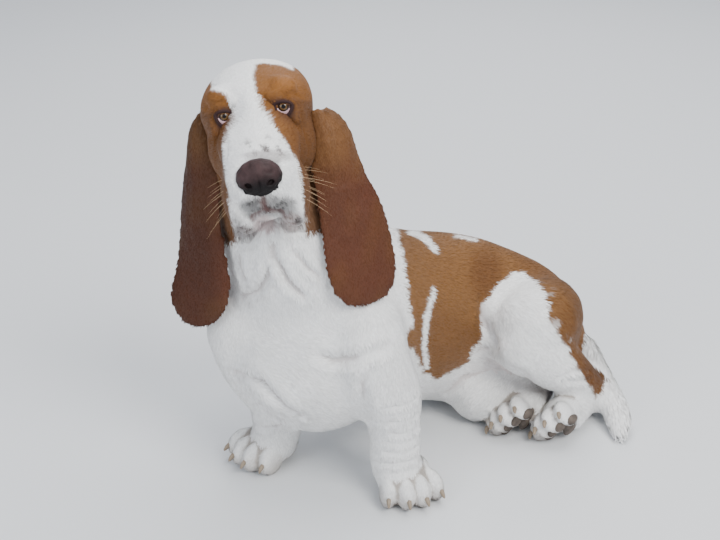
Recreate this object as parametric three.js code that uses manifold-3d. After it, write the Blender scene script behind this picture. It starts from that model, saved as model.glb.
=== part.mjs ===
// A basset hound at life size, sitting on its right hip with both hind feet out to its left and its head up.
// Millimetres. +Z is up, +Y runs from the chest to the rump, +X is the dog's left, and the floor is at z = 0.
// Each limb, the trunk, the neck and the tail are lofts: oval rings strung along a curve. The forms of one part
// of the body are joined to one solid, which is then cut clear of the part that it grows from.
import * as THREE from "three";
import { mergeVertices } from "three/addons/utils/BufferGeometryUtils.js";
import Module from "manifold-3d";

const wasm = await Module();
wasm.setup();

// Driving sizes of the dog.
const GAP = 0.35; // clearance between two parts that touch
const FRONT_TURN = 39; // degrees that the chest is turned to the dog's left of the trunk's long axis
const SHOULDERS = [-14, -7]; // plan position of the point between the two shoulders
const EYE_LINE = [23, -92, 479]; // the point between the two pupils
const HEAD_YAW = -23; // degrees from +X of the way the face looks, in plan
const HEAD_PITCH = 2; // degrees that the muzzle points up
const HEAD_ROLL = -9; // degrees that the head leans to the dog's right
const EYE_SPACING = 63; // between the two eyeballs' centres
const EYE_RADIUS = 11;
const EYE_UP = 3; // how far the eyeballs' centres lie above the eye line
const EYE_Y = -6; // how far the eyeballs' centres lie behind the eye line, in the head's own frame
const LID_HALF = 12.5; // half the length of the eye's opening
const LID_UP = 8; // rise of the upper lid's edge
const LID_DOWN = 8.5; // sag of the lower lid's edge
const LID_ROLL = 2.6; // half thickness of a lid
const ORIGIN = [-17.49, 117.42]; // plan centre of the whole dog's box, which becomes the origin

// Limits of the geometry itself.
const TINY = 1e-6; // below this a ring has shrunk to its pole
const WELD = 1e-3; // points closer than this are one point
const LOOK = 0.01; // how far ahead and behind a curve's direction is taken, as a share of its length

const COAT_WHITE = 0xe9e7e3;
const COAT_TAN = 0xa5602a;
const EAR_BROWN = 0x7a3b20;
const NOSE_BROWN = 0x4a3634;
const EYE_BROWN = 0x5a4326;
const CLAW_HORN = 0xb7a58f;

const v3 = (p) => new THREE.Vector3(...p);
const rad = THREE.MathUtils.degToRad;

// Plan directions of the forequarters: ahead of the chest, and to the dog's left.
const AHEAD = [Math.sin(rad(FRONT_TURN)), -Math.cos(rad(FRONT_TURN))];
const LEFT = [Math.cos(rad(FRONT_TURN)), Math.sin(rad(FRONT_TURN))];

// A point of the forequarters from how far it lies ahead, to the left and above the floor.
function fore(ahead, left, z) {
  return [
    SHOULDERS[0] + AHEAD[0] * ahead + LEFT[0] * left,
    SHOULDERS[1] + AHEAD[1] * ahead + LEFT[1] * left,
    z,
  ];
}

// The values of a list of stations at t, from 0 at the first to 1 at the last, on a smooth curve through them.
function stationAt(stations, t, lead = 3) {
  const last = stations.length - 1;
  const at = Math.min(t * last, last - 1e-9);
  const i = Math.floor(at);
  const f = at - i;
  const s = (k) => stations[Math.max(0, Math.min(last, k))];
  if (i === 0) return capAt(s(0), s(1), s(2), f, lead);
  if (i === last - 1) return capAt(s(last), s(last - 1), s(last - 2), 1 - f, lead);
  return stations[i].map((_, c) => {
    const [p0, p1, p2, p3] = [s(i - 1)[c], s(i)[c], s(i + 1)[c], s(i + 2)[c]];
    const [m1, m2] = [(p2 - p0) / 2, (p3 - p1) / 2];
    if (c >= lead && i === 1) return hermite(f, p1, p2, p2 - p1, m2);
    if (c >= lead && i === last - 2) return hermite(f, p1, p2, m1, p2 - p1);
    return hermite(f, p1, p2, m1, m2);
  });
}

function hermite(f, p1, p2, m1, m2) {
  const [f2, f3] = [f * f, f * f * f];
  return (2 * f3 - 3 * f2 + 1) * p1 + (f3 - 2 * f2 + f) * m1 + (3 * f2 - 2 * f3) * p2 + (f3 - f2) * m2;
}

// The round end of a form: from the pole's station at f = 0 to the first full ring at f = 1.
function capAt(pole, ring, next, f, lead) {
  const angle = (f * Math.PI) / 2;
  return pole.map((p, c) => {
    if (c < lead) return p + (ring[c] - p) * (1 - Math.cos(angle));
    return ring[c] * Math.sin(angle) + (f * f * f - f * f) * (next[c] - ring[c]);
  });
}

// A closed form of oval rings along a curve. A station is [x, y, z, half width, height above, height below];
// facing is the way that "above" points. The form is a sphere's grid, wrapped along the curve.
function loft(stations, { sides = 16, rows = 12, facing = [0, 0, 1] } = {}) {
  const geometry = new THREE.SphereGeometry(1, sides, rows);
  const position = geometry.getAttribute("position");
  const up = v3(facing).normalize();
  const point = new THREE.Vector3();
  for (let i = 0; i < position.count; i++) {
    point.fromBufferAttribute(position, i);
    const t = Math.acos(THREE.MathUtils.clamp(point.y, -1, 1)) / Math.PI;
    const ring = Math.hypot(point.x, point.z);
    const [x, y, z, w, above, below] = stationAt(stations, t);
    const a = stationAt(stations, Math.max(0, t - LOOK));
    const b = stationAt(stations, Math.min(1, t + LOOK));
    const along = new THREE.Vector3(b[0] - a[0], b[1] - a[1], b[2] - a[2]).normalize();
    const side = new THREE.Vector3().crossVectors(up, along).normalize();
    const rise = new THREE.Vector3().crossVectors(along, side).normalize();
    const [c, s] = ring > TINY ? [point.x / ring, point.z / ring] : [0, 0];
    point
      .set(x, y, z)
      .addScaledVector(side, c * Math.max(0, w))
      .addScaledVector(rise, s * Math.max(0, s > 0 ? above : below));
    position.setXYZ(i, point.x, point.y, point.z);
  }
  return solid(geometry);
}

// An egg: a sphere stretched to three half sizes, turned by angles in degrees and placed.
function egg(centre, radii, turn = [0, 0, 0], { sides = 12, rows = 8 } = {}) {
  const geometry = new THREE.SphereGeometry(1, sides, rows);
  geometry.scale(...radii);
  const place = new THREE.Matrix4().makeRotationFromEuler(new THREE.Euler(...turn.map(rad), "XYZ"));
  geometry.applyMatrix4(place.setPosition(...centre));
  return solid(geometry);
}

const SMALL_EGG = { sides: 10, rows: 7 };

// A closed geometry as a solid, with its shared vertices merged and its faces pointing out.
function solid(geometry) {
  geometry.deleteAttribute("normal");
  geometry.deleteAttribute("uv");
  const merged = mergeVertices(geometry, WELD);
  const index = [...merged.index.array];
  const faces = [];
  for (let i = 0; i < index.length; i += 3) {
    const [a, b, c] = index.slice(i, i + 3);
    if (a !== b && b !== c && c !== a) faces.push(a, b, c);
  }
  const mesh = (triVerts) =>
    new wasm.Mesh({ numProp: 3, vertProperties: merged.getAttribute("position").array, triVerts });
  const made = new wasm.Manifold(mesh(new Uint32Array(faces)));
  if (made.volume() > 0) return made;
  return new wasm.Manifold(mesh(new Uint32Array(faces.reverse())));
}

// The same solid with every vertex moved out along its normal, to cut a clearance in a neighbour.
function grown(body, by = GAP) {
  const mesh = body.getMesh();
  const geometry = new THREE.BufferGeometry();
  geometry.setAttribute("position", new THREE.BufferAttribute(new Float32Array(mesh.vertProperties), 3));
  geometry.setIndex(new THREE.BufferAttribute(mesh.triVerts, 1));
  geometry.computeVertexNormals();
  const [position, normal] = [geometry.getAttribute("position"), geometry.getAttribute("normal")];
  for (let i = 0; i < position.array.length; i++) position.array[i] += normal.array[i] * by;
  const moved = new wasm.Mesh({ numProp: 3, vertProperties: position.array, triVerts: mesh.triVerts });
  return new wasm.Manifold(moved);
}

const join = (...solids) => solids.flat().reduce((a, b) => a.add(b));
const cut = (body, ...tools) => tools.flat().reduce((a, b) => a.subtract(b), body);
const largest = (body) => body.decompose().sort((a, b) => b.volume() - a.volume())[0];

// A solid of the head, made in the head's own frame and carried to its place.
const headPlace = new THREE.Matrix4()
  .makeTranslation(...EYE_LINE)
  .multiply(new THREE.Matrix4().makeRotationZ(rad(HEAD_YAW + 90)))
  .multiply(new THREE.Matrix4().makeRotationX(rad(-HEAD_PITCH)))
  .multiply(new THREE.Matrix4().makeRotationY(rad(HEAD_ROLL)));
const place = (body) => body.transform([...headPlace.elements]);

// A point of the head, from left, back and up of the point between the pupils, in the dog's frame.
const headPoint = (left, ahead, up) => new THREE.Vector3(left, -ahead, up).applyMatrix4(headPlace).toArray();

// Everything below the floor is cut away, so that what rests on it has a flat.
const underFloor = solid(new THREE.BoxGeometry(2000, 2000, 400).translate(0, 0, -200));

// Trunk: from the breastbone's point, over the withers, to the rump.
const TRUNK = [
  [...fore(88, -4, 212), 0, 0, 0],
  [...fore(76, -3, 206), 64, 66, 80],
  [...fore(42, 0, 200), 98, 100, 122],
  [...fore(0, 0, 193), 112, 112, 130],
  [-42, 32, 183, 112, 119, 128],
  [-66, 82, 168, 107, 109, 127],
  [-82, 137, 151, 102, 101, 127],
  [-88, 187, 136, 92, 104, 122],
  [-80, 237, 122, 80, 104, 125],
  [-62, 287, 110, 72, 92, 114],
  [-48, 326, 96, 66, 76, 99],
  [-34, 354, 84, 50, 50, 72],
  [-24, 376, 76, 0, 0, 0],
];

const trunk = () => loft(TRUNK, { sides: 24, rows: 26 });

// Neck: from inside the skull's base, down into the shoulders, with the loose skin of the throat ahead.
const NECK = [
  [...headPoint(0, -40, -34), 0, 0, 0],
  [...headPoint(0, -60, -40), 57, 50, 62],
  [...headPoint(-6, -76, -72), 73, 56, 76],
  [...fore(14, -31, 340), 82, 62, 82],
  [...fore(8, -17, 300), 91, 66, 88],
  [...fore(0, -4, 250), 100, 74, 84],
  [...fore(0, 0, 206), 0, 0, 0],
];

const neck = () => loft(NECK, { sides: 20, rows: 14, facing: [-AHEAD[0], -AHEAD[1], 0.2] });

// Skull and muzzle in the head's frame: x left, y back, z up, from the point between the pupils. A station
// is [x, y, z, half width, above, below].
const SKULL = [
  [0, 118, 14, 0, 0, 0],
  [0, 110, 8, 34, 24, 34],
  [0, 88, 0, 52, 36, 54],
  [0, 60, -2, 59, 42, 62],
  [0, 30, -4, 60, 42, 66],
  [0, 6, -10, 53, 40, 64],
  [0, -14, -24, 45, 34, 58],
  [0, -36, -38, 39, 29, 52],
  [0, -60, -46, 37, 27, 48],
  [0, -80, -50, 34, 26, 40],
  [0, -92, -51, 24, 20, 26],
  [0, -97, -51, 0, 0, 0],
];

// Line of the mouth on one side, from the parting under the nose to the corner of the lips.
const MOUTH = [
  [0, -92, -62, 0, 0, 0],
  [0, -92, -68, 1.6, 3, 3],
  [5, -88, -76, 1.8, 3, 3],
  [16, -80, -84, 2, 3, 3],
  [27, -62, -98, 2, 3, 3],
  [31, -36, -100, 2, 3, 3],
  [38, -12, -82, 2, 3, 3],
  [42, 2, -70, 0, 0, 0],
];

const eyeAt = (side) => egg([(side * EYE_SPACING) / 2, EYE_Y, EYE_UP], [EYE_RADIUS, EYE_RADIUS, EYE_RADIUS]);

// Lobes of the head: centre, half sizes and turn. Those of LOBES lie on both sides, those of MIDDLE_LOBES once.
const LOBES = [
  [[27, -48, -77], [18, 40, 37], [0, 6, 0]], // flew, the upper lip's hanging lobe
  [[36, 26, -40], [23, 48, 40], [0, 0, 0]], // cheek, and the bone arch behind the eye
  [[30, 7, 21], [18, 18, 11], [0, 0, 20]], // brow
];
const MIDDLE_LOBES = [
  [[0, -66, -84], [21, 18, 11], [0, 0, 0]], // chin and lower lip
  [[0, 88, 14], [22, 28, 18], [0, 0, 0]], // peak at the back of the skull
];

function headForm() {
  const lobes = MIDDLE_LOBES.map((lobe) => egg(...lobe, SMALL_EGG));
  for (const side of [1, -1]) {
    for (const [[x, y, z], radii, [a, b, c]] of LOBES) {
      lobes.push(egg([side * x, y, z], radii, [a, side * b, side * c]));
    }
  }
  return join(loft(SKULL, { sides: 24, rows: 22 }), lobes);
}

// One eyelid: a bowed roll over the eyeball, above it for way 1 and below it for way -1, where it sags.
const LID_AHEAD = [3, 8.5]; // how far the lid's corners and its middle stand ahead of the eyeball's centre
const LID_STATIONS = [-1, -0.75, 0, 0.75, 1];
const LID_ROUND = 0.96;

function lid(side, way) {
  const reach = way > 0 ? LID_UP : LID_DOWN;
  const stations = LID_STATIONS.map((t) => {
    const bow = Math.sqrt(1 - t * t * LID_ROUND);
    const size = Math.abs(t) === 1 ? 0 : LID_ROLL;
    const x = (side * EYE_SPACING) / 2 + t * LID_HALF;
    return [x, EYE_Y - LID_AHEAD[0] - LID_AHEAD[1] * bow, EYE_UP + way * reach * bow, size, size, size];
  });
  return loft(stations, { sides: 6, rows: 7, facing: [0, -1, 0] });
}

const SOCKET = { ahead: 10, down: 0.5, radii: [LID_HALF, 13, 10] }; // the almond opening before the eyeball

function head() {
  const openings = [];
  for (const side of [1, -1]) {
    openings.push(egg([(side * EYE_SPACING) / 2, EYE_Y - SOCKET.ahead, EYE_UP - SOCKET.down], SOCKET.radii));
    const mouth = MOUTH.map(([x, ...rest]) => [side * x, ...rest]);
    openings.push(loft(mouth, { sides: 5, rows: 10, facing: [1, 0, 0] }));
  }
  const lids = [1, -1].flatMap((side) => [lid(side, 1), lid(side, -1)]);
  return place(largest(join(cut(headForm(), openings), lids)));
}

// Nose: its leather, the two nostrils that turn out to the sides, and the groove between them down to the lip.
const NOSE = [[0, -88, -42], [23.5, 14, 19.5], [12, 0, 0]];
const NOSTRIL = [[10.5, -102, -46], [5, 9, 4.5], [0, -20, -25]];
const NOSE_GROOVE = [[0, -104, -56], [1.6, 5, 9], [0, 0, 0]];

function nose() {
  const [[x, y, z], radii, [a, b, c]] = NOSTRIL;
  const holes = [1, -1].map((side) => egg([side * x, y, z], radii, [a, side * b, side * c], SMALL_EGG));
  const leather = egg(...NOSE, { sides: 14, rows: 10 });
  return place(cut(leather, holes, egg(...NOSE_GROOVE, { sides: 8, rows: 6 })));
}

// Forelegs: from inside the shoulder, down the turned-in forearm, to the pastern.
const FORELEG = {
  left: [
    [...fore(24, 62, 250), 0, 0, 0],
    [...fore(30, 76, 228), 42, 44, 44],
    [...fore(40, 88, 186), 44, 46, 48],
    [86, 40, 140, 36, 38, 38],
    [83, 46, 100, 31, 32, 32],
    [83, 48, 66, 30, 30, 30],
    [85, 48, 40, 30, 30, 30],
    [88, 50, 18, 26, 26, 26],
    [90, 50, 6, 0, 0, 0],
  ],
  right: [
    [...fore(30, -60, 250), 0, 0, 0],
    [...fore(36, -72, 228), 42, 42, 44],
    [...fore(44, -78, 186), 44, 44, 46],
    [-42, -76, 132, 38, 40, 40],
    [-34, -58, 96, 33, 34, 34],
    [-36, -54, 62, 31, 31, 31],
    [-40, -54, 40, 30, 30, 30],
    [-46, -56, 18, 26, 26, 26],
    [-48, -58, 6, 0, 0, 0],
  ],
};

const foreleg = (side) => loft(FORELEG[side], { sides: 14, rows: 16, facing: [AHEAD[0], AHEAD[1], 0.25] });

// Proportions of a foot, as shares of its length, width and height.
const TOE_SPACING = 0.235;
const TOE_REACH = { inner: 0.34, outer: 0.22 };
const TOE_UP = 0.36;
const TOE_RADII = [0.145, 0.26, 0.4];
const TOE_TURN = [-8, 11]; // degrees that a toe dips, and that it turns out from the next one
const FOOT_BODY = [[0, -0.08, 0.46], [0.44, 0.4, 0.52]];
const SOLE_PAD = [[0, -0.02, 0.14], [0.26, 0.2, 0.16]];

// A foot: a body, a sole pad and four toes spread ahead of it, in a frame whose y runs to the toes.
function foot({ at, heading, length, width, height, tilt = [0, 0, 0] }) {
  const frame = new THREE.Matrix4()
    .makeTranslation(...at)
    .multiply(new THREE.Matrix4().makeRotationZ(rad(heading)))
    .multiply(new THREE.Matrix4().makeRotationFromEuler(new THREE.Euler(...tilt.map(rad), "YXZ")));
  const carry = (body) => body.transform([...frame.elements]);
  const sized = ([x, y, z]) => [x * width, y * length, z * height];
  const toes = [-1.5, -0.5, 0.5, 1.5].map((k) => {
    const reach = Math.abs(k) < 1 ? TOE_REACH.inner : TOE_REACH.outer;
    const centre = sized([k * TOE_SPACING, reach, TOE_UP]);
    return { centre, radii: sized(TOE_RADII), turn: [TOE_TURN[0], 0, -k * TOE_TURN[1]] };
  });
  const [body, pad] = [FOOT_BODY, SOLE_PAD].map(([centre, radii]) => egg(sized(centre), sized(radii)));
  const solids = [body, pad, ...toes.map((t) => egg(t.centre, t.radii, t.turn, SMALL_EGG))];
  return { foot: carry(join(solids)), claws: toes.map((t) => carry(claw(t))) };
}

// A claw, a short horn that grows out of the toe's end and bends down, in stations of
// [how far ahead of its root, height above the toe's centre, half width, half height].
const CLAW_ROOT = 0.78; // where it leaves the toe, as a share of the toe's half length
const CLAW = [[0, 2, 0, 0], [2, 2, 3.2, 3.6], [6.5, 0, 2.8, 3.2], [10, -3.5, 1.7, 1.9], [11.5, -6, 0, 0]];

function claw({ centre, radii, turn }) {
  const stations = CLAW.map(([reach, up, half, tall]) => {
    const d = radii[1] * CLAW_ROOT + reach;
    const [c, s] = [Math.cos(rad(turn[2])), Math.sin(rad(turn[2]))];
    return [centre[0] - s * d, centre[1] + c * d, centre[2] + up, half, tall, tall];
  });
  return loft(stations, { sides: 5, rows: 5 });
}

const FEET = {
  forepaw_left: { at: [92, 58, 0], heading: -98, length: 80, width: 76, height: 50 },
  forepaw_right: { at: [-48, -62, 0], heading: 198, length: 80, width: 76, height: 50 },
  hindpaw_left: { at: [70, 304, 14], heading: 210, length: 78, width: 62, height: 44, tilt: [12, 48, 0] },
  hindpaw_right: { at: [34, 260, 14], heading: 212, length: 78, width: 62, height: 44, tilt: [12, 48, 0] },
};

// Hind legs. The left thigh lies on top, the right one flat on the floor below it.
const THIGH = {
  left: [
    [-50, 338, 124, 0, 0, 0],
    [-40, 326, 128, 54, 50, 56],
    [-16, 304, 138, 58, 52, 62],
    [10, 282, 148, 56, 50, 60],
    [18, 254, 146, 46, 42, 48],
    [24, 236, 142, 30, 30, 32],
    [28, 226, 140, 0, 0, 0],
  ],
  right: [
    [-48, 350, 50, 0, 0, 0],
    [-48, 330, 50, 44, 44, 50],
    [-42, 285, 48, 50, 48, 50],
    [-30, 240, 44, 46, 40, 46],
    [-20, 208, 38, 38, 34, 40],
    [-14, 186, 32, 0, 0, 0],
  ],
};

const SHANK = {
  left: [
    [14, 228, 148, 0, 0, 0],
    [18, 242, 140, 36, 36, 38],
    [28, 278, 114, 40, 38, 42],
    [34, 312, 84, 34, 32, 34],
    [30, 345, 54, 27, 24, 26],
    [24, 368, 34, 21, 20, 24],
    [18, 380, 28, 0, 0, 0],
  ],
  right: [
    [-24, 196, 34, 0, 0, 0],
    [-22, 214, 34, 34, 32, 36],
    [-18, 250, 34, 34, 32, 36],
    [-14, 286, 34, 28, 28, 34],
    [-12, 312, 32, 22, 24, 32],
    [-10, 326, 30, 0, 0, 0],
  ],
};

const PASTERN = {
  left: [
    [14, 380, 26, 0, 0, 0],
    [20, 370, 27, 22, 20, 24],
    [34, 346, 29, 23, 22, 26],
    [48, 322, 28, 24, 24, 24],
    [58, 302, 26, 26, 22, 24],
    [64, 290, 24, 0, 0, 0],
  ],
  right: [
    [-18, 322, 34, 0, 0, 0],
    [-12, 312, 34, 22, 22, 26],
    [2, 290, 34, 23, 22, 26],
    [14, 270, 30, 25, 24, 26],
    [26, 252, 26, 0, 0, 0],
  ],
};

const limb = (stations) => loft(stations, { sides: 12, rows: 10 });

// Tail: over the rump's end, down to the floor and out to the dog's left.
const TAIL = [
  [-22, 352, 96, 0, 0, 0],
  [-14, 366, 84, 20, 20, 20],
  [-2, 380, 56, 19, 19, 19],
  [30, 385, 30, 18, 18, 18],
  [72, 377, 18, 17, 17, 19],
  [98, 364, 13, 12, 11, 14],
  [112, 354, 8, 0, 0, 0],
];

// Ears: broad flaps that hang from the side of the skull. A station is [x, y, z, plan angle in degrees
// that the flap's face looks to, how far its two edges curl back, half width, half thickness].
const EAR = {
  left: [
    [24, -21, 474, 0, 12, 0, 0],
    [31, -15, 465, 0, 16, 20, 5],
    [42, -10, 449, 2, 18, 28, 5],
    [49, -7, 424, 4, 15, 31, 4.5],
    [54, -3, 397, 5, 10, 33, 4],
    [65, 2, 366, 5, 8, 39, 3.6],
    [73, 4, 334, 5, 6, 42, 3.4],
    [80, 6, 303, 5, 4, 42, 3.2],
    [85, 7, 277, 5, 3, 35, 3],
    [86, 8, 262, 5, 2, 0, 0],
  ],
  right: [
    [-40, -126, 466, -60, 12, 0, 0],
    [-37, -133, 457, -62, 16, 17, 5],
    [-35, -140, 438, -66, 18, 25, 5],
    [-34, -142, 412, -70, 15, 29, 4.5],
    [-33, -143, 385, -72, 10, 31, 4],
    [-32, -144, 345, -70, 8, 32, 3.6],
    [-29, -143, 308, -62, 6, 34, 3.4],
    [-28, -143, 278, -55, 4, 36, 3.2],
    [-30, -147, 246, -48, 3, 35, 3],
    [-32, -149, 222, -45, 3, 22, 3],
    [-32, -150, 214, -45, 2, 0, 0],
  ],
};

// One ear: a loft as flat as a flap, whose edges curl back into a trough that is deepest at the root: its cup.
const EAR_LEAD = 5; // how many of a station's values place it; the rest are its sizes

function ear(side) {
  const geometry = new THREE.SphereGeometry(1, 16, 16);
  const position = geometry.getAttribute("position");
  const point = new THREE.Vector3();
  for (let i = 0; i < position.count; i++) {
    point.fromBufferAttribute(position, i);
    const t = Math.acos(THREE.MathUtils.clamp(point.y, -1, 1)) / Math.PI;
    const ring = Math.hypot(point.x, point.z);
    const [c, s] = ring > TINY ? [point.x / ring, point.z / ring] : [0, 0];
    const [x, y, z, angle, curl, half, thick] = stationAt(EAR[side], t, EAR_LEAD);
    const [fx, fy] = [Math.cos(rad(angle)), Math.sin(rad(angle))];
    const depth = s * Math.max(0, thick) - curl * c * c;
    const across = c * Math.max(0, half);
    position.setXYZ(i, x + fx * depth - fy * across, y + fy * depth + fx * across, z);
  }
  return solid(geometry);
}

// The whole dog, part by part, from the innermost out. Each form is cut clear of the forms placed before it.
const placed = [];
const dog = new THREE.Group();
function keep(name, form, colour) {
  const near = placed.map((other) => join(grown(other), other));
  const body = largest(cut(form, underFloor, ...near));
  placed.push(form);
  const m = body.getMesh();
  const geometry = new THREE.BufferGeometry();
  geometry.setAttribute("position", new THREE.BufferAttribute(new Float32Array(m.vertProperties), 3));
  geometry.setIndex(new THREE.BufferAttribute(new Uint32Array(m.triVerts), 1));
  geometry.computeVertexNormals();
  const material = new THREE.MeshStandardMaterial({ color: colour, roughness: 0.8, metalness: 0 });
  const mesh = new THREE.Mesh(geometry, material);
  mesh.name = name;
  mesh.position.set(-ORIGIN[0], -ORIGIN[1], 0);
  dog.add(mesh);
}

const SIDES = [["left", 1], ["right", -1]];
for (const [name, side] of SIDES) keep("eye_" + name, place(eyeAt(side)), EYE_BROWN);
keep("nose", nose(), NOSE_BROWN);
keep("torso", trunk(), COAT_TAN);
keep("head", head(), COAT_TAN);
keep("neck", neck(), COAT_WHITE);
for (const [name, side] of SIDES) keep("ear_" + name, ear(name), EAR_BROWN);
const feet = Object.fromEntries(Object.entries(FEET).map(([name, sizes]) => [name, foot(sizes)]));
for (const [name, paw] of Object.entries(feet)) keep(name, paw.foot, COAT_WHITE);
for (const [name] of SIDES) {
  keep("foreleg_" + name, foreleg(name), COAT_WHITE);
  keep("hindleg_" + name, join(limb(THIGH[name]), limb(SHANK[name]), limb(PASTERN[name])), COAT_TAN);
}
keep("tail", limb(TAIL), COAT_WHITE);
for (const [name, paw] of Object.entries(feet)) {
  paw.claws.forEach((c, i) => keep(`${name}_claw_${i + 1}`, c, CLAW_HORN));
}

export default dog;
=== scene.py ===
"""A basset hound at life size, sitting on its right hip: skin, coat, eyes, nose, claws and pads.

Places are in millimetres in the dog's own frame, as the solids' source has them: x to the dog's left,
y from the chest to the rump, z up from the floor. ORIGIN is the row frame's origin in that frame.
"""
import math
import bmesh
import bpy
import numpy as np
from mathutils import Matrix, Vector
from mathutils.bvhtree import BVHTree


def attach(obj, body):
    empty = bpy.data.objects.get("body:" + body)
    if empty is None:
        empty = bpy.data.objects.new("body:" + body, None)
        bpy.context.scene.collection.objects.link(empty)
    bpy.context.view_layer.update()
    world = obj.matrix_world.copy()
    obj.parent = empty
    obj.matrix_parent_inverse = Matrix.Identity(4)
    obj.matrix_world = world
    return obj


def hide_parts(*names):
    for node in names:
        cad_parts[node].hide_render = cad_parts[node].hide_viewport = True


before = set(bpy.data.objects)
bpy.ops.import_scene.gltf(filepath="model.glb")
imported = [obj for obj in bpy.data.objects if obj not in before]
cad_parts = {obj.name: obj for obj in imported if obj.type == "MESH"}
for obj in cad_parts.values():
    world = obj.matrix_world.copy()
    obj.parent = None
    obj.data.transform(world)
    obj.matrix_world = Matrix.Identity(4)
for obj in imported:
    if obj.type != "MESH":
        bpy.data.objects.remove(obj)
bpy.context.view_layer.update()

MM = 0.001
ORIGIN = np.array([-17.49, 117.42, 0.0])

# The head's frame, in which x is its left, y is back and z is up from the point between the pupils.
EYE_LINE = (23.0, -92.0, 479.0)
HEAD_YAW = -23.0
HEAD_PITCH = 2.0
HEAD_ROLL = -9.0
EYE_SPACING = 63.0
EYE_RADIUS = 11.0
EYE_Y = -6.0
EYE_UP = 3.0

# The camera: where it stands, how it looks down, and its lens.
CAMERA_PLACE = (1302.8, -566.1, 930.0)
CAMERA_AZIMUTH = math.radians(65.0)
CAMERA_PITCH = math.radians(25.0)
CAMERA_LENS = 67.5
PHOTO_FOCAL = 1350.0  # the same lens, in the photograph's pixels
PHOTO_MIDDLE = (360.0, 270.0)

# Colours of the coat, skin and bare parts, as seen on the dog.
WHITE_HAIR = 0xF8F7F5
TAN_HAIR = 0x7D5630
DARK_TAN_HAIR = 0x65401F
FACE_TAN = 0x7C4F22
EAR_HAIR = 0x57301E
FOOT_GREY = 0xB9AEA3
MUZZLE_GREY = 0xA89C98
BELLY_PINK = 0xD9C2BE
FOLD_SHADE = 0xA08C88
# Painted shade in the hollows between the toes.
TOE_HOLLOW_SHADE = 0x84725F
LIP_BROWN = 0x5E403D
RIM_BROWN = 0x2A1C20
HAW_PINK = 0xBC9599
PAD_GREY = 0x6E6258
CLAW_HORN = 0x8F7F6C
# The nose: a painted highlight on its top, over the near-black leather below.
NOSE_TOP_HIGHLIGHT = 0x503C3C
NOSE_LOW = 0x171213
WHISKER = 0xD9B88F

SKIN_VOXEL = 2.6
TRUNK_SPLIT = 120  # the trunk's coat is in two pieces, ahead of this y and behind it
SIDES = (1, -1)  # the dog's left and right
FLOOR_GAP = 0.15  # the skin stays this far above the floor
rng = np.random.default_rng(11)


def linear(code):
    """A colour given as sRGB hex, in linear light."""
    parts = [((code >> shift) & 255) / 255 for shift in (16, 8, 0)]
    return np.array([c / 12.92 if c <= 0.04045 else ((c + 0.055) / 1.055) ** 2.4 for c in parts])


def unit(v):
    v = np.asarray(v, float)
    return v / (np.linalg.norm(v, axis=-1, keepdims=True) + 1e-12)


def smoothstep(low, high, x):
    t = np.clip((x - low) / (high - low), 0, 1)
    return t * t * (3 - 2 * t)


def head_matrix():
    turn = Matrix.Rotation(math.radians(HEAD_YAW + 90), 4, "Z")
    turn = turn @ Matrix.Rotation(math.radians(-HEAD_PITCH), 4, "X")
    turn = turn @ Matrix.Rotation(math.radians(HEAD_ROLL), 4, "Y")
    return np.array(Matrix.Translation(EYE_LINE) @ turn)


HEAD = head_matrix()
HEAD_BACK = np.linalg.inv(HEAD)


def from_head(p):
    p = np.asarray(p, float)
    return p @ HEAD[:3, :3].T + HEAD[:3, 3]


def to_head(p):
    p = np.asarray(p, float)
    return p @ HEAD_BACK[:3, :3].T + HEAD_BACK[:3, 3]


def to_row(p):
    """Points of the dog's frame, in millimetres, in the row frame, in metres."""
    return (np.asarray(p, float) - ORIGIN) * MM


def noise(p, size, seed=0):
    """Smooth noise from -1 to 1 at points p, its features about size millimetres across."""
    q = p / size
    total = np.zeros(len(p))
    local = np.random.default_rng(100 + seed)
    for octave in range(3):
        for _ in range(4):
            way = unit(local.normal(size=3)) * (1.7 ** octave) * local.uniform(0.7, 1.3)
            total += np.sin(q @ way * 2.2 + local.uniform(0, 7)) / (4 * 1.5 ** octave)
    return total / 1.4


# Camera, floor and light

VIEW_RIGHT = np.array([math.cos(CAMERA_AZIMUTH), math.sin(CAMERA_AZIMUTH), 0])
VIEW_LEVEL = np.array([-math.sin(CAMERA_AZIMUTH), math.cos(CAMERA_AZIMUTH), 0])
VIEW_AHEAD = VIEW_LEVEL * math.cos(CAMERA_PITCH) - np.array([0, 0, math.sin(CAMERA_PITCH)])
VIEW_UP = VIEW_LEVEL * math.sin(CAMERA_PITCH) + np.array([0, 0, math.cos(CAMERA_PITCH)])


def photo_place(p):
    """Where points of the dog show in the photograph, in its pixels, in which the markings are given."""
    v = np.asarray(p, float) - np.array(CAMERA_PLACE)
    deep = v @ VIEW_AHEAD
    across = PHOTO_MIDDLE[0] + PHOTO_FOCAL * (v @ VIEW_RIGHT) / deep
    down = PHOTO_MIDDLE[1] - PHOTO_FOCAL * (v @ VIEW_UP) / deep
    return np.stack([across, down], -1)


def add_camera():
    data = bpy.data.cameras.new("camera")
    data.lens = CAMERA_LENS
    data.sensor_width = 36
    camera = bpy.data.objects.new("camera", data)
    turn = np.eye(4)
    turn[:3, 0], turn[:3, 1], turn[:3, 2] = VIEW_RIGHT, VIEW_UP, -VIEW_AHEAD
    turn[:3, 3] = to_row(CAMERA_PLACE)
    camera.matrix_world = Matrix(turn.tolist())
    bpy.context.scene.collection.objects.link(camera)
    bpy.context.scene.camera = camera


def add_light(name, place, aim, size, power, colour=(1, 1, 1)):
    data = bpy.data.lights.new(name, "AREA")
    data.shape = "DISK"
    data.size = size
    data.energy = power
    data.color = colour
    light = bpy.data.objects.new(name, data)
    light.location = place
    light.rotation_euler = (Vector(aim) - Vector(place)).to_track_quat("-Z", "Y").to_euler()
    bpy.context.scene.collection.objects.link(light)


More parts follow.
